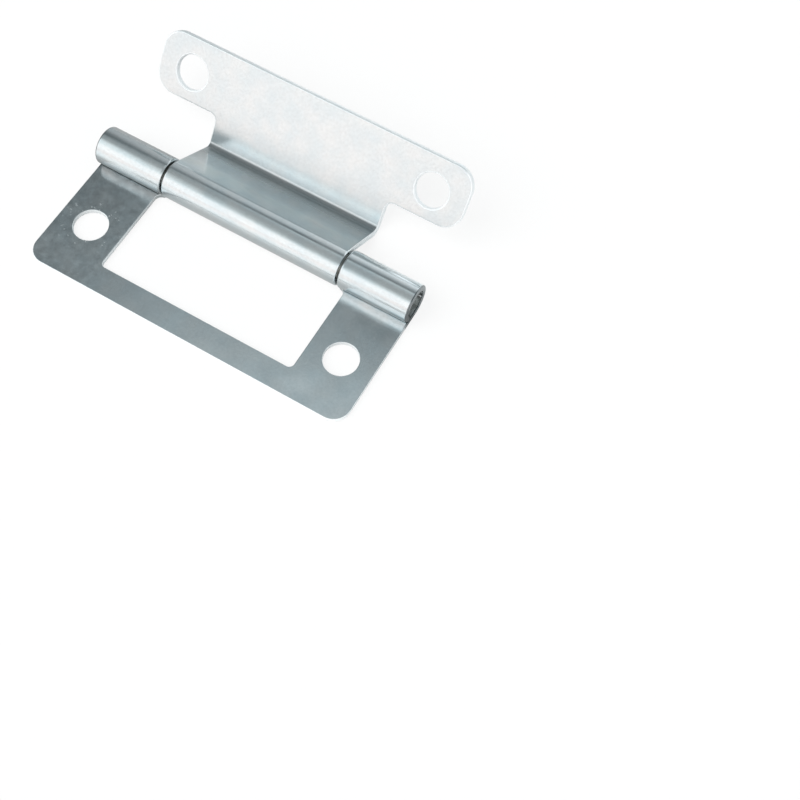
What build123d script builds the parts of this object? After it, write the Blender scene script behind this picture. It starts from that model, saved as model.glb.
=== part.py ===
from build123d import *
from math import acos, asin, atan2, cos, degrees, hypot, radians, sin, tan
import os

# A cranked flush hinge for a folding door, rolled from bright zinc plated steel strip.
# X runs along the pin, +Z is up, and the frame leaf lies flat with its back on Z = 0.
# The origin is midway between the frame leaf's two screw holes, on that back face.

# Strip and barrel, in millimetres
sheet = 1.0                 # thickness of the strip, the same in both leaves
barrel_d = 6.6              # outside diameter of the rolled knuckles
seam_gap = 0.12             # between the end of a roll and the face that it comes back to
outer_edge_r = 0.3          # roundness that blanking leaves round the side the barrel's outside is on
inner_edge_r = 0.12         # roundness of the strip's other cut edges
pin_clearance = 0.05        # radial running clearance of the pin in the knuckles
pin_recess = 1.4            # how far each end of the pin lies inside the barrel
pin_chamfer = 0.4           # broken edge at each end of the pin

# Frame leaf, with reaches measured square to the pin from its axis
hinge_length = 60.0         # along the pin, over the two end knuckles
leaf_reach = 23.3           # to the outer edge of the leaf
leaf_corner_r = 3.0
leaf_hole_reach = 13.4      # to the two screw holes
window_reach = 18.8         # to the far edge of the window
window_corner_r = 0.9
knuckle_root = 2.4          # to the front of the tongues that the end knuckles are rolled from
knuckle_shoulder = 1.15     # step from an end knuckle out to the side of the window

# Cranked T leaf, with heights measured up the flange from the corner of the crank
centre_knuckle = 33.5       # length of the centre knuckle, and width of the web
knuckle_gap = 0.4           # between neighbouring knuckles
web_length = 9.95           # from the barrel's tangent line to the corner of the crank
crank_angle = 85.0          # turn of the strip from the web up into the flange
crank_r = 1.0               # inside radius of the crank
flange_inset = 0.5          # how far each end of the flange stands in from the end of the barrel
flange_height = 16.3        # to the flange's top edge
flange_hole_height = 10.4   # to the two screw holes
flange_corner_r = 3.6
notch_height = 5.4          # to the lower edge of the flange's ears
notch_r = 1.3               # in the corner between the web and each ear

# Screw holes, the same in both leaves
screw_hole_d = 5.9

# Faces that turn by less than this where they meet run smoothly on, in degrees
smooth_turn = 20

# The plane square to the pin that the strips' sections are drawn on, centred on the pin's axis
barrel_r = barrel_d / 2
bore_r = barrel_r - sheet
section = Plane(origin=(0, leaf_hole_reach, barrel_r), x_dir=(0, 1, 0), z_dir=(1, 0, 0))

# A roll turns until its outer corner is back at the face of its own strip
roll_turn = 270 + degrees(asin((bore_r - seam_gap) / barrel_r))

# The web falls away from the barrel until the outside of the crank rests on Z = 0
crank_run = web_length - crank_r * tan(radians(crank_angle / 2))
crank_rise = barrel_r + crank_r
crank_fall = acos((sheet + crank_r - barrel_r) / hypot(crank_run, crank_rise))
web_angle = degrees(atan2(crank_run, crank_rise) - crank_fall)
web_section = section.rotated((web_angle, 0, 0))

# The flange's visible face, with Y up the flange and Z square out of that face
flange_turn = radians(web_angle + crank_angle)
flange_plane = Plane(
    origin=web_section.from_local_coords((web_length, barrel_r, 0)),
    x_dir=(1, 0, 0),
    z_dir=(0, -sin(flange_turn), cos(flange_turn)),
)

# Lengths along the pin
flange_length = hinge_length - 2 * flange_inset
knuckle_half = centre_knuckle / 2
tongue_half = knuckle_half + knuckle_gap
window_half = tongue_half + knuckle_shoulder
hinge_half = hinge_length / 2

# The screw holes stand in the middle of the leaf's arms and of the flange's ears
leaf_hole_spacing = window_half + hinge_half
flange_hole_spacing = knuckle_half + flange_length / 2


def roll(start):
    """Draw a knuckle's section: the strip rolled round the pin from the angle start."""
    outside = CenterArc((0, 0), barrel_r, start, roll_turn)
    inside = CenterArc((0, 0), bore_r, start, roll_turn)
    Line(outside @ 1, inside @ 1)


def edge_turn(edge, faces):
    """Measure the angle that the surface turns by where an edge's faces meet."""
    normals = [face.normal_at(edge @ 0.5) for face in faces]
    return normals[0].get_angle(normals[-1])


def round_edges(leaf, outside_point):
    """Round the strip's cut edges, more so round the side that the barrel's outside is on."""
    def faces_at(edge):
        return [face for face in leaf.faces() if edge in face.edges()]

    # That side is every face that runs smoothly on from the one at the point given
    outside = [leaf.faces().sort_by_distance(outside_point)[0]]
    for face in outside:
        for edge in face.edges():
            if edge_turn(edge, faces_at(edge)) < smooth_turn:
                outside += [other for other in faces_at(edge) if other not in outside]

    def is_sharp(edge):
        return edge_turn(edge, faces_at(edge)) > smooth_turn

    def is_outside(edge):
        return any(face in outside for face in faces_at(edge))
    fillet(leaf.edges().filter_by(is_sharp).filter_by(is_outside), outer_edge_r)
    fillet(leaf.edges().filter_by(is_sharp), inner_edge_r)


# Frame leaf: the strip lies flat and its two end tongues roll under, round the pin and back
with BuildPart() as frame_leaf:
    with BuildSketch(section):
        with BuildLine():
            Polyline((0, -barrel_r), (-leaf_reach, -barrel_r), (-leaf_reach, -bore_r), (0, -bore_r))
            roll(-90)
        make_face()
    extrude(amount=hinge_half, both=True)
    fillet(frame_leaf.edges().filter_by(Axis.Z).group_by(Axis.Y)[0], leaf_corner_r)

    # The window, which runs in under the barrel between the two tongues
    with BuildSketch(Plane((0, leaf_hole_reach, 0))):
        with BuildLine():
            side_top = -knuckle_root - knuckle_shoulder
            side_foot = window_corner_r - window_reach
            Line((0, -window_reach), (window_half - window_corner_r, -window_reach))
            CenterArc((window_half - window_corner_r, side_foot), window_corner_r, -90, 90)
            Line((window_half, side_foot), (window_half, side_top))
            CenterArc((tongue_half, side_top), knuckle_shoulder, 0, 90)
            Line((tongue_half, -knuckle_root), (0, -knuckle_root))
            mirror(about=Plane.YZ)
        make_face()
    extrude(amount=sheet, mode=Mode.SUBTRACT)

    # The opening through the barrel that the centre knuckle turns in
    with BuildSketch(Plane((0, leaf_hole_reach, 0))):
        Rectangle(2 * tongue_half, barrel_d)
    extrude(amount=barrel_d, mode=Mode.SUBTRACT)

    # Two plain screw holes
    with BuildSketch(Plane.XY):
        with GridLocations(leaf_hole_spacing, 0, 2, 1):
            Circle(screw_hole_d / 2)
    extrude(amount=sheet, mode=Mode.SUBTRACT)

    round_edges(frame_leaf, (leaf_hole_spacing / 2, leaf_hole_reach, barrel_d))


# T leaf: the centre knuckle, the web that falls from it and the flange beyond the crank
with BuildPart() as tee_leaf:
    with BuildSketch(web_section):
        with BuildLine():
            corner = (web_length, barrel_r)
            back_corner = (web_length + sheet * tan(radians(crank_angle / 2)), bore_r)
            top = PolarLine(corner, flange_height, crank_angle, mode=Mode.PRIVATE) @ 1
            back_top = PolarLine(top, sheet, crank_angle - 90) @ 1
            FilletPolyline(top, corner, (0, barrel_r), radius=crank_r)
            FilletPolyline(back_top, back_corner, (0, bore_r), radius=crank_r + sheet)
            roll(90)
        make_face()
    extrude(amount=knuckle_half, both=True)

    # The ears carry the flange out to its full length on both sides of the web
    with BuildSketch(flange_plane):
        with Locations((0, (flange_height + notch_height) / 2)):
            Rectangle(flange_length, flange_height - notch_height)
        with Locations((0, (notch_height + crank_r) / 2)):
            Rectangle(centre_knuckle, notch_height - crank_r)
        lower = vertices().group_by(Axis.Y)[1].sort_by(Axis.X)
        upper = vertices().group_by(Axis.Y)[-1]
        fillet([lower[0], lower[-1], *upper], flange_corner_r)
        fillet(vertices().group_by(Axis.Y)[1].sort_by(Axis.X)[1:-1], notch_r)
    extrude(amount=-sheet)

    # Two plain screw holes
    with BuildSketch(flange_plane):
        with Locations((0, flange_hole_height)):
            with GridLocations(flange_hole_spacing, 0, 2, 1):
                Circle(screw_hole_d / 2)
    extrude(amount=-sheet, mode=Mode.SUBTRACT)
    round_edges(tee_leaf, (0, leaf_hole_reach, barrel_d))


# Pin: one plain rod through the three knuckles, its ends a little way inside the barrel
with BuildPart() as hinge_pin:
    with BuildSketch(section):
        Circle(bore_r - pin_clearance)
    extrude(amount=hinge_half - pin_recess, both=True)
    chamfer(hinge_pin.edges().filter_by(GeomType.CIRCLE), pin_chamfer)


frame_leaf.part.label = "frame_leaf"
tee_leaf.part.label = "tee_leaf"
hinge_pin.part.label = "hinge_pin"

os.makedirs("parts", exist_ok=True)
for piece in (frame_leaf.part, tee_leaf.part, hinge_pin.part):
    export_step(piece, f"parts/{piece.label}.step")
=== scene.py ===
from math import pi, radians

import bpy
from mathutils import Matrix, Vector

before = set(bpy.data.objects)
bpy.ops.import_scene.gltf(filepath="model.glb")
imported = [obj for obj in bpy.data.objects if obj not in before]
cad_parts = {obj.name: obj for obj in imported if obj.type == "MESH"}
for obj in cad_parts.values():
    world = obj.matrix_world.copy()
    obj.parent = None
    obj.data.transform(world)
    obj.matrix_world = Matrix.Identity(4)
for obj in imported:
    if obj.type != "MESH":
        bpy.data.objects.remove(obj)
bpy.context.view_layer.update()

bl_info = {
    "name": "Folding door hinge",
    "version": (1, 0, 0),
    "blender": (4, 5, 0),
    "location": "3D View > Sidebar > Hinge",
    "description": "Zinc plated finish, stage and camera for a cranked folding door hinge",
    "category": "Object",
}

# The script works in metres. One millimetre, for the sizes that are thought of in millimetres
MM = 0.001

# What the settings for a colour, and those for a share from 0 to 1, have in common
COLOUR = {"subtype": "COLOR", "size": 3, "min": 0, "max": 1}
SHARE = {"subtype": "FACTOR", "min": 0, "max": 1}


def colour_of(code):
    """Turn an sRGB hex code into the linear colour that a shader takes."""
    values = [int(code[i:i + 2], 16) / 255 for i in (1, 3, 5)]
    return tuple(v / 12.92 if v <= 0.04045 else ((v + 0.055) / 1.055) ** 2.4 for v in values)


def add_node(tree, kind, settings=None, **links):
    """Add a node, set what settings names on it, and link or set its inputs.

    An input goes by its name, or by its number after an underscore. A node that is given as a value is
    linked from its first output. The colours of a Mix node are its inputs 6 and 7 and its output 2.
    """
    node = tree.nodes.new(kind)
    for name, value in (settings or {}).items():
        setattr(node, name, value)
    for name, value in links.items():
        socket = node.inputs[int(name[1:]) if name[0] == "_" else name.replace("_", " ")]
        if isinstance(value, bpy.types.Node):
            value = value.outputs[0]
        if isinstance(value, bpy.types.NodeSocket):
            tree.links.new(value, socket)
        else:
            socket.default_value = value
    return node


def new_material(name):
    """Make an empty material with an output, and return it with its tree and that output."""
    material = bpy.data.materials.new(name)
    material.use_nodes = True
    material.node_tree.nodes.clear()
    output = material.node_tree.nodes.new("ShaderNodeOutputMaterial")
    return material, material.node_tree, output


class PlatingSettings(bpy.types.PropertyGroup):
    """The bright zinc plate on the two leaves."""
    cool: bpy.props.FloatVectorProperty(
        name="Cool zinc", description="Colour of the plate where the clear passivate looks blue",
        default=colour_of("#DDE5E8"), **COLOUR)
    warm: bpy.props.FloatVectorProperty(
        name="Grey zinc", description="Colour of the plate where the passivate is thin",
        default=colour_of("#E5E9EA"), **COLOUR)
    mottle_size: bpy.props.FloatProperty(
        name="Mottle", description="Width of the plate's cloudy patches", unit="LENGTH",
        default=3.6 * MM)
    speckle_size: bpy.props.FloatProperty(
        name="Speckle", description="Width of the plate's small lighter and darker spots",
        unit="LENGTH", default=0.5 * MM)
    speckle_depth: bpy.props.FloatProperty(
        name="Speckle depth", description="How much those spots lighten or darken the plate",
        default=0.04, **SHARE)
    mark_size: bpy.props.FloatProperty(
        name="Handling marks", description="Width of the marks on the frame leaf's left-hand arm",
        unit="LENGTH", default=1.3 * MM)
    mark_depth: bpy.props.FloatProperty(
        name="Mark depth", description="How much those marks lighten or darken the plate",
        default=0.16, **SHARE)
    # The darker grey that the barrel's sheared ends are coloured
    thin: bpy.props.FloatVectorProperty(
        name="Thin plate", description="Colour of the sheared ends that the plate hardly covers",
        default=colour_of("#858A8C"), **COLOUR)
    # The nicks are worn zinc. On the cut edges and walls, this colour, shine and roughness paint a
    # highlight
    worn_and_highlit: bpy.props.FloatVectorProperty(
        name="Rubbed zinc", description="Colour of the nicks and the rubbed edges",
        default=colour_of("#F4F6F7"), **COLOUR)
    worn_and_highlit_shine: bpy.props.FloatProperty(
        name="Rubbed shine", description="How much metal shine the nicks and rubbed edges keep",
        default=0.35, **SHARE)
    worn_and_highlit_roughness: bpy.props.FloatProperty(
        name="Rubbed roughness", description="Roughness of the nicks and the rubbed edges",
        default=0.6, **SHARE)
    roughness: bpy.props.FloatProperty(
        name="Roughness", description="Mean roughness of the plate", default=0.19, **SHARE)
    roughness_spread: bpy.props.FloatProperty(
        name="Roughness spread", description="How far the roughness strays from its mean",
        default=0.05, **SHARE)
    # Dullness follows the painted shade: the plate is made rougher where that shade darkens it
    dullness: bpy.props.FloatProperty(
        name="Dullness", description="How much rougher the plate is where it is thinnest",
        default=0.16, **SHARE)
    ripple_size: bpy.props.FloatProperty(
        name="Ripple", description="Spacing of the rolled strip's slow waves", unit="LENGTH",
        default=5.0 * MM)
    ripple_height: bpy.props.FloatProperty(
        name="Ripple height", description="Height of those waves", unit="LENGTH",
        default=0.012 * MM)
    # The real grain is too fine to show, so it is drawn this coarse
    grain_size: bpy.props.FloatProperty(
        name="Grain", description="Spacing of the plate's fine grain", unit="LENGTH",
        default=0.35 * MM)
    grain_height: bpy.props.FloatProperty(
        name="Grain height", description="Height of that grain", unit="LENGTH",
        default=0.0015 * MM)


class PinSettings(bpy.types.PropertyGroup):
    """The drawn steel of the pin."""
    colour: bpy.props.FloatVectorProperty(
        name="Steel", description="Colour of the bare drawn steel",
        default=colour_of("#A3A29E"), **COLOUR)
    oiled: bpy.props.FloatVectorProperty(
        name="Oiled steel", description="Colour of the steel under a film of old oil",
        default=colour_of("#77746D"), **COLOUR)
    film_size: bpy.props.FloatProperty(
        name="Oil film", description="Width of the patches of old oil", unit="LENGTH",
        default=1.5 * MM)
    roughness: bpy.props.FloatProperty(
        name="Pin roughness", description="Mean roughness of the drawn steel", default=0.34,
        **SHARE)
    roughness_spread: bpy.props.FloatProperty(
        name="Pin roughness spread", description="How far the roughness strays from its mean",
        default=0.06, **SHARE)
    line_width: bpy.props.FloatProperty(
        name="Drawing lines", description="Spacing of the lines that the die leaves on the pin",
        unit="LENGTH", default=0.15 * MM)
    line_height: bpy.props.FloatProperty(
        name="Line height", description="Height of those lines", unit="LENGTH",
        default=0.002 * MM)


class StageSettings(bpy.types.PropertyGroup):
    """The floor, the surroundings, the lamp and the camera."""
    floor_colour: bpy.props.FloatVectorProperty(
        name="Floor", description="Colour of the floor", default=colour_of("#F7F7F6"), **COLOUR)
    floor_size: bpy.props.FloatProperty(
        name="Floor size", description="Side of the square floor", unit="LENGTH", default=3.0)
    floor_clear: bpy.props.FloatProperty(
        name="Clear floor", description="How far the camera sees through the floor",
        default=0.85, **SHARE)
    lens: bpy.props.FloatProperty(
        name="Lens", description="Focal length on a 36 mm wide sensor", unit="CAMERA",
        default=54.15)
    camera_place: bpy.props.FloatVectorProperty(
        name="Camera", description="Where the camera stands", subtype="XYZ", unit="LENGTH",
        size=3, default=(71.68 * MM, -70.87 * MM, 170.26 * MM))
    surroundings: bpy.props.FloatProperty(
        name="Surroundings", description="Brightness of the white studio in front of the hinge",
        min=0, max=5, default=1.22)
    lamp: bpy.props.FloatProperty(
        name="Lamp", description="Strength of the soft lamp, in watts to the square metre",
        min=0, max=10, default=1.85)
    lamp_width: bpy.props.FloatProperty(
        name="Lamp width", description="How wide the lamp looks, which softens the shadow",
        subtype="ANGLE", default=radians(50))


# Noise seldom strays out of the first of these spans, so it is stretched from there to the full range
# of what it drives. The second is tighter, which gives the cloudy patches firmer edges
NOISE_SPAN = (0.3, 0.7)
MOTTLE_SPAN = (0.34, 0.66)

# A point on the pin's axis
PIN = (0, 13.4 * MM, 3.3 * MM)

# How much light the plate sends back, as a share of its own colour. Each pair is a place in millimetres
# and the share there. The shares were tuned until renders matched tones read from the photo. Below 1
# they are painted shade and above 1 a painted highlight, not a thin or dull zinc. That the zinc is thin
# and dull there is a guess, and part of it may be shade or reflection in the photo. This one is painted
# shade on the front of the end knuckles, by height, up from the nip between the roll and the leaf
NIP_SHADE = (
    (1.06, 1.0), (1.12, 0.45), (2.4, 0.56), (3.0, 0.60), (3.6, 0.75), (4.1, 0.86), (4.4, 1.0),
)
# The right-hand nip is more open, and takes this much of the shade. The change takes this far to each
# side of the hinge's middle, where the frame leaf has no knuckle
OPEN_NIP = 0.1
NIP_CHANGE = 1.0 * MM

# And this one is by place along Y: a painted highlight over the back of the centre knuckle and down the
# upper web, which is brightest at its upper end, then painted shade through the inside of the crank and
# up the foot of the flange
CRANK_LIGHT_AND_SHADE = (
    (14.2, 1.0), (14.7, 1.1), (15.0, 1.22), (15.5, 1.17), (16.1, 1.24), (17.8, 1.26), (19.3, 1.03),
    (21.0, 0.84), (21.5, 0.78), (22.4, 0.78), (23.0, 0.69), (23.75, 0.38), (23.95, 0.76),
    (24.15, 1.0), (25.0, 1.0), (25.5, 0.90), (26.4, 0.93), (27.9, 1.0),
)


def shade(tree, place, steps):
    """Turn a place along an axis into the share of light that steps gives for it."""
    first, last = steps[0][0], steps[-1][0]
    along = add_node(tree, "ShaderNodeMapRange", Value=place, From_Min=first * MM, From_Max=last * MM)
    ramp = add_node(tree, "ShaderNodeValToRGB", Fac=along)
    stops = ramp.color_ramp.elements
    while len(stops) < len(steps):
        stops.new(0.5)
    for stop, (level, share) in zip(stops, steps):
        stop.position = (level - first) / (last - first)
        stop.color = (share, share, share, 1)
    return ramp.outputs["Color"]


def nip_shade(tree, axes):
    """Paint shade on the front of the end knuckles towards the nip, less so at the right-hand end."""
    front = add_node(tree, "ShaderNodeMath", {"operation": "LESS_THAN"},
                     _0=axes.outputs["Y"], _1=PIN[1])
    amount = add_node(tree, "ShaderNodeMapRange", Value=axes.outputs["X"], From_Min=-NIP_CHANGE,
                      From_Max=NIP_CHANGE, To_Min=1.0, To_Max=OPEN_NIP)
    share = add_node(tree, "ShaderNodeMath", {"operation": "MULTIPLY"}, _0=front, _1=amount)
    mix = add_node(tree, "ShaderNodeMix", {"data_type": "RGBA"}, Factor=share,
                   _6=(1, 1, 1, 1), _7=shade(tree, axes.outputs["Z"], NIP_SHADE))
    return mix.outputs[2]


def crank_light_and_shade(tree, axes):
    """Paint a highlight on the upper web and shade inside the crank."""
    return shade(tree, axes.outputs["Y"], CRANK_LIGHT_AND_SHADE)


# The barrel's sheared ends, which are coloured a darker grey, start this far from the middle of the
# hinge. They fade in between these two distances from the pin's axis, which blends them into the leaf
BARREL_END = 29.75 * MM
BARREL_BLEND = (4.6 * MM, 3.3 * MM)


def grey_barrel_ends(tree, place, axes):
    """Find the sheared ends of the barrel: 1 on them and 0 elsewhere."""
    section = add_node(tree, "ShaderNodeVectorMath", {"operation": "MULTIPLY"},
                       _0=place, _1=(0, 1, 1))
    away = add_node(tree, "ShaderNodeVectorMath", {"operation": "DISTANCE"}, _0=section, _1=PIN)
    barrel = add_node(tree, "ShaderNodeMapRange", Value=away.outputs["Value"],
                      From_Min=BARREL_BLEND[0], From_Max=BARREL_BLEND[1])
    along = add_node(tree, "ShaderNodeMath", {"operation": "ABSOLUTE"}, _0=axes.outputs["X"])
    end = add_node(tree, "ShaderNodeMath", {"operation": "GREATER_THAN"}, _0=along, _1=BARREL_END)
    return add_node(tree, "ShaderNodeMath", {"operation": "MULTIPLY"}, _0=end, _1=barrel)


# The middle of the left-hand arm's screw hole, the distances from it that its nicks fade in between,
# and how bare they are
ARM_HOLE = (-24.15 * MM, 0, 0)
NICKED = (6.5 * MM, 3.2 * MM)
NICK_DEPTH = 0.35
# The nicks are the peaks of a noise, over this span of it. Its scale is this share of the speckle's
NICK_SPAN = (0.66, 0.72)
NICK_SCALE = 0.9


def nicks(tree, place):
    """Find the small nicks round the left-hand screw hole."""
    look = bpy.context.scene.hinge_plating
    away = add_node(tree, "ShaderNodeVectorMath", {"operation": "DISTANCE"}, _0=place, _1=ARM_HOLE)
    near = add_node(tree, "ShaderNodeMapRange", Value=away.outputs["Value"],
                    From_Min=NICKED[0], From_Max=NICKED[1])
    noise = add_node(tree, "ShaderNodeTexNoise", Vector=place,
                     Scale=NICK_SCALE / look.speckle_size, Detail=1.0)
    nick = add_node(tree, "ShaderNodeMapRange", Value=noise,
                    From_Min=NICK_SPAN[0], From_Max=NICK_SPAN[1], To_Max=NICK_DEPTH)
    return add_node(tree, "ShaderNodeMath", {"operation": "MULTIPLY"}, _0=near, _1=nick)


# The leaf's sheared walls, up to this reach along Y, and how much of the near-white painted highlight
# they take. A wall fades in as the upright part of its normal falls from the first of these to the
# second
WALL_REACH = 10.0 * MM
WALL_HIGHLIGHT = 0.8
WALL_TURN = (0.8, 0.5)


def leaf_walls(tree, axes, normal):
    """Find the frame leaf's sheared walls."""
    upright = add_node(tree, "ShaderNodeSeparateXYZ", Vector=normal).outputs["Z"]
    upright = add_node(tree, "ShaderNodeMath", {"operation": "ABSOLUTE"}, _0=upright)
    wall = add_node(tree, "ShaderNodeMapRange", Value=upright,
                    From_Min=WALL_TURN[0], From_Max=WALL_TURN[1], To_Max=WALL_HIGHLIGHT)
    leaf = add_node(tree, "ShaderNodeMath", {"operation": "LESS_THAN"},
                    _0=axes.outputs["Y"], _1=WALL_REACH)
    return add_node(tree, "ShaderNodeMath", {"operation": "MULTIPLY"}, _0=wall, _1=leaf)


# The nicks are wear, and the walls take a painted highlight
def worn_and_highlit_leaf(tree, where, axes):
    """Find the nicks and the sheared walls of the frame leaf."""
    return add_node(tree, "ShaderNodeMath", {"operation": "MAXIMUM"},
                    _0=nicks(tree, where.outputs["Object"]),
                    _1=leaf_walls(tree, axes, where.outputs["Normal"]))


# The flange's visible face looks this way, and a surface whose normal has less than this share of it is
# a cut edge. The flange starts at this reach along Y. At the top its edges take only this much of the
# painted highlight, which starts between these two heights
FLANGE_FACING = (0, -0.789, 0.6145)
FACE_TURN = 0.975
FLANGE_FOOT = 24.2 * MM
TOP_HIGHLIGHT = 0.5
FLANGE_TOP = (12.9 * MM, 13.1 * MM)


def flange_edges(tree, axes, normal):
    """Find the flange's cut edges: 1 on them, less on the top edge, and 0 elsewhere."""
    facing = add_node(tree, "ShaderNodeVectorMath", {"operation": "DOT_PRODUCT"},
                      _0=normal, _1=FLANGE_FACING)
    facing = add_node(tree, "ShaderNodeMath", {"operation": "ABSOLUTE"},
                      _0=facing.outputs["Value"])
    turned = add_node(tree, "ShaderNodeMath", {"operation": "LESS_THAN"}, _0=facing, _1=FACE_TURN)
    past = add_node(tree, "ShaderNodeMath", {"operation": "GREATER_THAN"},
                    _0=axes.outputs["Y"], _1=FLANGE_FOOT)
    below = add_node(tree, "ShaderNodeMapRange", Value=axes.outputs["Z"], From_Min=FLANGE_TOP[0],
                     From_Max=FLANGE_TOP[1], To_Min=1.0, To_Max=TOP_HIGHLIGHT)
    edge = add_node(tree, "ShaderNodeMath", {"operation": "MULTIPLY"}, _0=turned, _1=past)
    return add_node(tree, "ShaderNodeMath", {"operation": "MULTIPLY"}, _0=edge, _1=below)


# The web is past this reach along Y, and its cut edges are where a normal has more than this part of
# it along X
WEB_START = 15.6 * MM
WEB_TURN = 0.3


def web_edges(tree, axes, normal):
    """Find the web's two cut edges: 1 on them and 0 elsewhere."""
    sideways = add_node(tree, "ShaderNodeSeparateXYZ", Vector=normal).outputs["X"]
    sideways = add_node(tree, "ShaderNodeMath", {"operation": "ABSOLUTE"}, _0=sideways)
    turned = add_node(tree, "ShaderNodeMath", {"operation": "GREATER_THAN"},
                      _0=sideways, _1=WEB_TURN)
    past = add_node(tree, "ShaderNodeMath", {"operation": "GREATER_THAN"},
                    _0=axes.outputs["Y"], _1=WEB_START)
    return add_node(tree, "ShaderNodeMath", {"operation": "MULTIPLY"}, _0=turned, _1=past)


# These edges take a painted highlight: a near-white, less metallic finish
def highlit_edges(tree, where, axes):
    """Find the cut edges of the web and the flange."""
    return add_node(tree, "ShaderNodeMath", {"operation": "MAXIMUM"},
                    _0=flange_edges(tree, axes, where.outputs["Normal"]),
                    _1=web_edges(tree, axes, where.outputs["Normal"]))


# The handling marks fade in between these two places along X, and stay on the strip's flat face, which
# lies just under this height
ARM_START = (-14 * MM, -19 * MM)
STRIP_TOP = 1.06 * MM


def zinc_colour(tree, place, axes, marked):
    """Mix the plate's colour from its cloudy patches, its spots and the marks of handling."""
    look = bpy.context.scene.hinge_plating
    mottle = add_node(tree, "ShaderNodeTexNoise", Vector=place, Scale=1 / look.mottle_size,
                      Detail=2.0)
    tint = add_node(tree, "ShaderNodeMapRange", Value=mottle,
                    From_Min=MOTTLE_SPAN[0], From_Max=MOTTLE_SPAN[1])
    zinc = add_node(tree, "ShaderNodeMix", {"data_type": "RGBA"}, Factor=tint,
                    _6=(*look.cool, 1), _7=(*look.warm, 1))
    spots = add_node(tree, "ShaderNodeTexNoise", Vector=place, Scale=1 / look.speckle_size,
                     Detail=2.0, Roughness=0.7)
    spot = add_node(tree, "ShaderNodeMapRange", Value=spots,
                    From_Min=NOISE_SPAN[0], From_Max=NOISE_SPAN[1],
                    To_Min=1 - look.speckle_depth, To_Max=1 + look.speckle_depth)
    # The arm has been handled, which leaves it cloudier than the rest
    marks = add_node(tree, "ShaderNodeTexNoise", Vector=place, Scale=1 / look.mark_size,
                     Detail=3.0, Roughness=0.6)
    mark = add_node(tree, "ShaderNodeMapRange", Value=marks,
                    From_Min=NOISE_SPAN[0], From_Max=NOISE_SPAN[1],
                    To_Min=-look.mark_depth, To_Max=look.mark_depth)
    arm = add_node(tree, "ShaderNodeMapRange", Value=axes.outputs["X"],
                   From_Min=ARM_START[0], From_Max=ARM_START[1], To_Max=marked)
    flat = add_node(tree, "ShaderNodeMath", {"operation": "LESS_THAN"},
                    _0=axes.outputs["Z"], _1=STRIP_TOP)
    handled = add_node(tree, "ShaderNodeMath", {"operation": "MULTIPLY"}, _0=arm, _1=flat)
    level = add_node(tree, "ShaderNodeMath", {"operation": "MULTIPLY_ADD"},
                     _0=mark, _1=handled, _2=spot)
    return add_node(tree, "ShaderNodeVectorMath", {"operation": "SCALE"},
                    _0=zinc.outputs[2], Scale=level)


# The plate's haze has this share of the mottle's scale, so its patches are wider
HAZE_SCALE = 0.6
# The plate turns dull, that is rougher, as the painted shade's share of light falls from the first to
# the second
DULL_SPAN = (0.84, 0.78)


def plate_roughness(tree, place, share, worn_and_highlit):
    """Vary the plate's roughness, and raise it under the painted shade, on the nicks and on the painted
    edge highlight.
    """
    look = bpy.context.scene.hinge_plating
    haze = add_node(tree, "ShaderNodeTexNoise", Vector=place,
                    Scale=HAZE_SCALE / look.mottle_size, Detail=3.0)
    rough = add_node(tree, "ShaderNodeMapRange", Value=haze,
                     From_Min=NOISE_SPAN[0], From_Max=NOISE_SPAN[1],
                     To_Min=look.roughness - look.roughness_spread,
                     To_Max=look.roughness + look.roughness_spread)
    dull = add_node(tree, "ShaderNodeMapRange", Value=share,
                    From_Min=DULL_SPAN[0], From_Max=DULL_SPAN[1], To_Max=look.dullness)
    rough = add_node(tree, "ShaderNodeMath", {"operation": "ADD"}, _0=rough, _1=dull)
    return add_node(tree, "ShaderNodeMix", Factor=worn_and_highlit, A=rough, B=look.worn_and_highlit_roughness)


def plate_relief(tree, place):
    """Lay the plate's fine grain over the slow waves of the rolled strip."""
    look = bpy.context.scene.hinge_plating
    ripple = add_node(tree, "ShaderNodeTexNoise", Vector=place, Scale=1 / look.ripple_size,
                      Detail=1.0)
    waves = add_node(tree, "ShaderNodeBump", Strength=1.0, Distance=look.ripple_height,
                     Height=ripple)
    grain = add_node(tree, "ShaderNodeTexNoise", Vector=place, Scale=1 / look.grain_size,
                     Detail=2.0)
    return add_node(tree, "ShaderNodeBump", Strength=1.0, Distance=look.grain_height,
                    Height=grain, Normal=waves)


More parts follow.
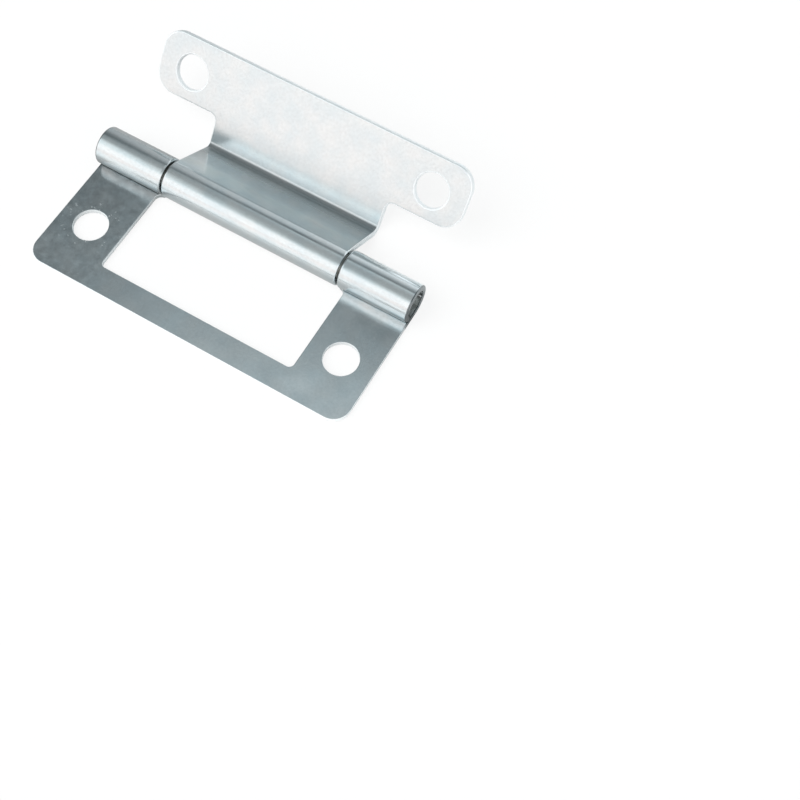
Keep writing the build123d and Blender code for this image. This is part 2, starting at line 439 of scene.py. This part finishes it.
def plating(name, painted_light_and_shade, worn_and_highlit_places, marked):
    """Bright zinc electroplate on cold rolled strip, with a clear blue passivate."""
    # It shines like a soft mirror. Cloudy patches of bluer and greyer zinc, small spots, slow waves of
    # the rolled strip and a fine grain break up what it reflects
    look = bpy.context.scene.hinge_plating
    material, tree, output = new_material(name)
    where = add_node(tree, "ShaderNodeTexCoord")
    place = where.outputs["Object"]
    axes = add_node(tree, "ShaderNodeSeparateXYZ", Vector=place)
    colour = zinc_colour(tree, place, axes, marked)
    # Painted shade, and on the tee leaf's upper web a painted highlight, scale the plate's colour by
    # place
    share = painted_light_and_shade(tree, axes)
    colour = add_node(tree, "ShaderNodeVectorMath", {"operation": "MULTIPLY"},
                      _0=colour, _1=share)
    # The nicks are worn zinc, and the cut edges and walls take a painted highlight in the same
    # near-white, less metallic finish
    worn_and_highlit = worn_and_highlit_places(tree, where, axes)
    colour = add_node(tree, "ShaderNodeMix", {"data_type": "RGBA"}, Factor=worn_and_highlit,
                      _6=colour, _7=(*look.worn_and_highlit, 1))
    colour = add_node(tree, "ShaderNodeMix", {"data_type": "RGBA"},
                      Factor=grey_barrel_ends(tree, place, axes),
                      _6=colour.outputs[2], _7=(*look.thin, 1))
    rough = plate_roughness(tree, place, share, worn_and_highlit)
    relief = plate_relief(tree, place)
    shine = add_node(tree, "ShaderNodeMix", Factor=worn_and_highlit, A=1.0, B=look.worn_and_highlit_shine)
    zinc = add_node(tree, "ShaderNodeBsdfPrincipled", Base_Color=colour.outputs[2],
                    Metallic=shine, Roughness=rough, Normal=relief)
    tree.links.new(zinc.outputs["BSDF"], output.inputs["Surface"])
    return material


# The lines run along X, so their pattern is drawn out this many times that way
LINE_STRETCH = 40
# The oil's film goes from dry to wet over this span of its noise
OIL_SPAN = (0.4, 0.62)


def drawn_steel(name):
    """Bare steel wire, drawn through a die and lightly oiled."""
    # Fine lines run along it, and it is greyer and duller than the plate round it
    look = bpy.context.scene.hinge_pin
    material, tree, output = new_material(name)
    place = add_node(tree, "ShaderNodeTexCoord").outputs["Object"]
    drawn = add_node(tree, "ShaderNodeMapping", Vector=place, Scale=(1 / LINE_STRETCH, 1, 1))
    lines = add_node(tree, "ShaderNodeTexNoise", Vector=drawn, Scale=1 / look.line_width,
                     Detail=3.0)
    film = add_node(tree, "ShaderNodeTexNoise", Vector=place, Scale=1 / look.film_size,
                    Detail=4.0)
    oil = add_node(tree, "ShaderNodeMapRange", Value=film,
                   From_Min=OIL_SPAN[0], From_Max=OIL_SPAN[1])
    colour = add_node(tree, "ShaderNodeMix", {"data_type": "RGBA"}, Factor=oil,
                      _6=(*look.colour, 1), _7=(*look.oiled, 1))
    rough = add_node(tree, "ShaderNodeMapRange", Value=lines,
                     From_Min=NOISE_SPAN[0], From_Max=NOISE_SPAN[1],
                     To_Min=look.roughness - look.roughness_spread,
                     To_Max=look.roughness + look.roughness_spread)
    relief = add_node(tree, "ShaderNodeBump", Strength=1.0, Distance=look.line_height,
                      Height=lines)
    steel = add_node(tree, "ShaderNodeBsdfPrincipled", Base_Color=colour.outputs[2],
                     Metallic=1.0, Roughness=rough, Normal=relief)
    tree.links.new(steel.outputs["BSDF"], output.inputs["Surface"])
    return material


def dress(node, material):
    """Give a node of the frame a finish in place of its plain one."""
    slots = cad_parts[node].material_slots
    if not slots:
        raise RuntimeError(f"{node} has no material slot to fill")
    for slot in slots:
        slot.material = material


class HINGE_OT_leaves(bpy.types.Operator):
    """Plate the frame leaf and the cranked T leaf"""
    bl_idname = "hinge.leaves"
    bl_label = "Plate the leaves"

    def execute(self, context):
        dress("frame_leaf",
              plating("bright_zinc_plate_frame_leaf", nip_shade, worn_and_highlit_leaf, marked=1.0))
        dress("tee_leaf",
              plating("bright_zinc_plate_tee_leaf", crank_light_and_shade, highlit_edges, marked=0.2))
        return {"FINISHED"}


class HINGE_OT_pin(bpy.types.Operator):
    """Finish the pin in drawn steel"""
    bl_idname = "hinge.pin"
    bl_label = "Finish the pin"

    def execute(self, context):
        dress("hinge_pin", drawn_steel("drawn_steel_wire"))
        return {"FINISHED"}


# The floor lies this far under the frame leaf's back, so that the two don't share a plane
FLOOR_DROP = 0.02 * MM

# How bright the floor is to the plate, as a share of its own colour, which paints a shadow round the
# hinge that only the plate's reflections show: in the hinge's own shade in front of the barrel, further
# in front of it, behind its left end and behind its right end. These too were tuned until renders
# matched tones read from the photo
NEAR_SHADE, FAR_SHADE, LEFT_SHADE, RIGHT_SHADE = 0.55, 1.05, 0.45, 1.0

# In front, the first pair of shares goes from one to the other between these places along Y. Behind,
# the second pair does between these places along X, on a line that slants by this much
FRONT_SPAN = (7 * MM, -9 * MM)
BACK_SPAN = (-12 * MM, 6 * MM)
BACK_SLANT = 0.4


def floor_finish():
    """White card that the camera sees through for the most part, so that it shows only the shadow. To
    the plate, its colour holds a painted shadow round the hinge.
    """
    stage = bpy.context.scene.hinge_stage
    material, tree, output = new_material("matt_white_card")
    rays = add_node(tree, "ShaderNodeLightPath")
    axes = add_node(tree, "ShaderNodeSeparateXYZ",
                    Vector=add_node(tree, "ShaderNodeTexCoord").outputs["Object"])
    ahead = add_node(tree, "ShaderNodeMapRange", Value=axes.outputs["Y"], From_Min=FRONT_SPAN[0],
                     From_Max=FRONT_SPAN[1], To_Min=NEAR_SHADE, To_Max=FAR_SHADE)
    aslant = add_node(tree, "ShaderNodeMath", {"operation": "MULTIPLY_ADD"},
                      _0=axes.outputs["Y"], _1=BACK_SLANT, _2=axes.outputs["X"])
    behind = add_node(tree, "ShaderNodeMapRange", Value=aslant, From_Min=BACK_SPAN[0],
                      From_Max=BACK_SPAN[1], To_Min=LEFT_SHADE, To_Max=RIGHT_SHADE)
    back = add_node(tree, "ShaderNodeMath", {"operation": "GREATER_THAN"},
                    _0=axes.outputs["Y"], _1=PIN[1])
    # To the plate the floor's colour is this painted shadow, darker near the barrel in front and behind
    # the hinge's left end. The camera sees plain white
    painted_floor_shadow = add_node(tree, "ShaderNodeMix", Factor=back, A=ahead, B=behind)
    camera_ray = rays.outputs["Is Camera Ray"]
    seen = add_node(tree, "ShaderNodeMix", Factor=camera_ray, A=painted_floor_shadow, B=1.0)
    colour = add_node(tree, "ShaderNodeVectorMath", {"operation": "SCALE"},
                      _0=stage.floor_colour, Scale=seen)
    card = add_node(tree, "ShaderNodeBsdfDiffuse", Color=colour)
    clear = add_node(tree, "ShaderNodeBsdfTransparent")
    through = add_node(tree, "ShaderNodeMath", {"operation": "MULTIPLY"},
                       _0=camera_ray, _1=stage.floor_clear)
    both = add_node(tree, "ShaderNodeMixShader", Fac=through, _1=card, _2=clear)
    tree.links.new(both.outputs[0], output.inputs["Surface"])
    return material


# The plate mirrors the surroundings, which are given for four ways of looking, the ones that four
# stretches of the barrel mirror to the camera. Each is how far that way points along X, where 0 is
# straight on and -1 is square to the left
LOOKING_LEFT = (-0.46, -0.42, -0.32, -0.25)

# Each row is an angle over the hinge in degrees, from the horizon in front, across the top, to the
# horizon behind, and the brightness there as a share of the white's for each way of LOOKING_LEFT.
# The shares were worked back from the photo's tones along those four stretches and then changed. They
# fit this one picture, and aren't the measure of a real room
SURROUNDINGS = (
    (0, 0.86, 0.99, 0.99, 0.81),
    (8, 0.84, 1.02, 1.02, 0.81),
    (15, 0.90, 0.92, 0.92, 0.89),
    (20, 0.94, 0.95, 0.95, 0.93),
    (27, 1.00, 1.00, 1.00, 1.00),
    (46, 1.00, 0.97, 0.96, 0.99),
    (54, 1.00, 0.78, 0.76, 0.88),
    (62, 1.00, 0.46, 0.47, 0.62),
    (70, 0.98, 0.36, 0.37, 0.39),
    (78, 0.62, 0.34, 0.37, 0.35),
    (86, 0.35, 0.32, 0.36, 0.34),
    (96, 0.32, 0.32, 0.37, 0.37),
    (104, 0.26, 0.31, 0.44, 0.48),
    (110, 0.17, 0.39, 0.60, 0.68),
    (114, 0.13, 0.19, 0.15, 0.19),
    (120, 0.13, 0.25, 0.13, 0.16),
    (128, 0.16, 0.42, 0.38, 0.32),
    (136, 0.20, 0.47, 0.56, 0.47),
    (144, 0.28, 0.47, 0.55, 0.68),
    (152, 0.35, 0.46, 0.52, 0.84),
    (162, 0.38, 0.45, 0.54, 1.00),
    (170, 0.37, 0.49, 0.62, 1.25),
    (180, 0.33, 0.42, 0.53, 1.15),
)

# The surroundings' tint from each angle on: the white studio, a little warmer low down, the cooler
# ceiling from 50, the blue gap behind it from 100 and the wall from 135
TINTS = (
    (0, "#FFFFFF"), (5, "#FFFAF8"), (25, "#FFFFFF"), (50, "#F2FBFD"), (100, "#E9F6FA"),
    (135, "#F3FAFD"),
)


def sky(tree, share, way):
    """Add a ramp of the surroundings' brightness for one way of looking, from front to back."""
    ramp = add_node(tree, "ShaderNodeValToRGB", Fac=share)
    stops = ramp.color_ramp.elements
    while len(stops) < len(SURROUNDINGS):
        stops.new(0.5)
    for stop, (degrees, *levels) in zip(stops, SURROUNDINGS):
        tint = colour_of([code for start, code in TINTS if start <= degrees][-1])
        stop.position = degrees / 180
        stop.color = (*(levels[way] * value for value in tint), 1)
    return ramp.outputs["Color"]


def surroundings():
    """A white studio in front of the hinge, under a grey ceiling with a dark gap behind it."""
    stage = bpy.context.scene.hinge_stage
    world = bpy.data.worlds.new("studio")
    bpy.context.scene.world = world
    world.use_nodes = True
    tree = world.node_tree
    tree.nodes.clear()
    direction = add_node(tree, "ShaderNodeTexCoord").outputs["Generated"]
    axes = add_node(tree, "ShaderNodeSeparateXYZ", Vector=direction)
    front = add_node(tree, "ShaderNodeMath", {"operation": "MULTIPLY"},
                     _0=axes.outputs["Y"], _1=-1.0)
    angle = add_node(tree, "ShaderNodeMath", {"operation": "ARCTAN2"},
                     _0=axes.outputs["Z"], _1=front)
    share = add_node(tree, "ShaderNodeMath", {"operation": "DIVIDE"}, _0=angle, _1=pi)
    colour = sky(tree, share, 0)
    for way in range(1, len(LOOKING_LEFT)):
        across = add_node(tree, "ShaderNodeMapRange", Value=axes.outputs["X"],
                          From_Min=LOOKING_LEFT[way - 1], From_Max=LOOKING_LEFT[way])
        colour = add_node(tree, "ShaderNodeMix", {"data_type": "RGBA"}, Factor=across,
                          _6=colour, _7=sky(tree, share, way)).outputs[2]
    room = add_node(tree, "ShaderNodeBackground", Color=colour, Strength=stage.surroundings)
    # The camera sees plain white behind the hinge
    backdrop = add_node(tree, "ShaderNodeBackground", Color=(1, 1, 1, 1), Strength=1.0)
    rays = add_node(tree, "ShaderNodeLightPath")
    both = add_node(tree, "ShaderNodeMixShader", Fac=rays.outputs["Is Camera Ray"],
                    _1=room, _2=backdrop)
    output = add_node(tree, "ShaderNodeOutputWorld")
    tree.links.new(both.outputs[0], output.inputs["Surface"])


# The way from the hinge to the lamp, over the left shoulder of the camera
LAMP_SIDE = (-0.45, -0.5, 0.9)


def soft_lamp():
    """A wide, soft lamp that whitens the floor and gives the faint shadow."""
    stage = bpy.context.scene.hinge_stage
    light = bpy.data.lights.new("soft_lamp", "SUN")
    light.energy = stage.lamp
    light.angle = stage.lamp_width
    lamp = bpy.data.objects.new("soft_lamp", light)
    bpy.context.collection.objects.link(lamp)
    lamp.rotation_euler = Vector(LAMP_SIDE).to_track_quat("Z", "Y").to_euler()
    # The plate mirrors the studio alone, so the lamp doesn't show in it
    lamp.visible_glossy = False


# The way that the camera is turned: the directions of its right, its top and its back
CAMERA_AXES = (
    (0.86465, 0.50189, 0.02209),
    (-0.46383, 0.78063, 0.4189),
    (0.193, -0.37245, 0.90776),
)
# The width of its sensor in millimetres, and the nearest and furthest that it draws in metres
SENSOR_WIDTH = 36
CAMERA_CLIP = (0.01, 10)


def camera():
    """Stand the camera in its place and look through it."""
    stage = bpy.context.scene.hinge_stage
    lens = bpy.data.cameras.new("camera")
    body = bpy.data.objects.new("camera", lens)
    bpy.context.collection.objects.link(body)
    lens.lens = stage.lens
    lens.sensor_width = SENSOR_WIDTH
    lens.clip_start, lens.clip_end = CAMERA_CLIP
    turn = Matrix(CAMERA_AXES).transposed()
    body.matrix_world = Matrix.Translation(stage.camera_place) @ turn.to_4x4()
    bpy.context.scene.camera = body


class HINGE_OT_stage(bpy.types.Operator):
    """Lay the floor, light the hinge and set up the camera"""
    bl_idname = "hinge.stage"
    bl_label = "Set the stage"

    def execute(self, context):
        stage = context.scene.hinge_stage
        bpy.ops.object.select_all(action="DESELECT")
        bpy.ops.mesh.primitive_plane_add(size=stage.floor_size, location=(0, 0, 0))
        floor = context.object
        floor.name = "floor"
        floor.data.transform(Matrix.Translation((0, 0, -FLOOR_DROP)))
        floor.data.materials.append(floor_finish())
        surroundings()
        soft_lamp()
        camera()
        context.scene.view_settings.view_transform = "Standard"
        return {"FINISHED"}


class HINGE_PT_looks(bpy.types.Panel):
    """The sizes and colours of the hinge's looks, and the steps that make them"""
    bl_idname = "HINGE_PT_looks"
    bl_label = "Hinge"
    bl_space_type = "VIEW_3D"
    bl_region_type = "UI"
    bl_category = "Hinge"

    def draw(self, context):
        scene = context.scene
        for group in (scene.hinge_plating, scene.hinge_pin, scene.hinge_stage):
            box = self.layout.box()
            for name in group.bl_rna.properties.keys():
                if name not in ("rna_type", "name"):
                    box.prop(group, name)
        for operator in OPERATORS:
            self.layout.operator(operator.bl_idname)


OPERATORS = (HINGE_OT_leaves, HINGE_OT_pin, HINGE_OT_stage)
CLASSES = (PlatingSettings, PinSettings, StageSettings, *OPERATORS, HINGE_PT_looks)


def register():
    for cls in CLASSES:
        bpy.utils.register_class(cls)
    bpy.types.Scene.hinge_plating = bpy.props.PointerProperty(type=PlatingSettings)
    bpy.types.Scene.hinge_pin = bpy.props.PointerProperty(type=PinSettings)
    bpy.types.Scene.hinge_stage = bpy.props.PointerProperty(type=StageSettings)


def unregister():
    del bpy.types.Scene.hinge_stage
    del bpy.types.Scene.hinge_pin
    del bpy.types.Scene.hinge_plating
    for cls in reversed(CLASSES):
        bpy.utils.unregister_class(cls)


def main():
    register()
    bpy.ops.hinge.leaves()
    bpy.ops.hinge.pin()
    bpy.ops.hinge.stage()


if __name__ == "__main__":
    main()
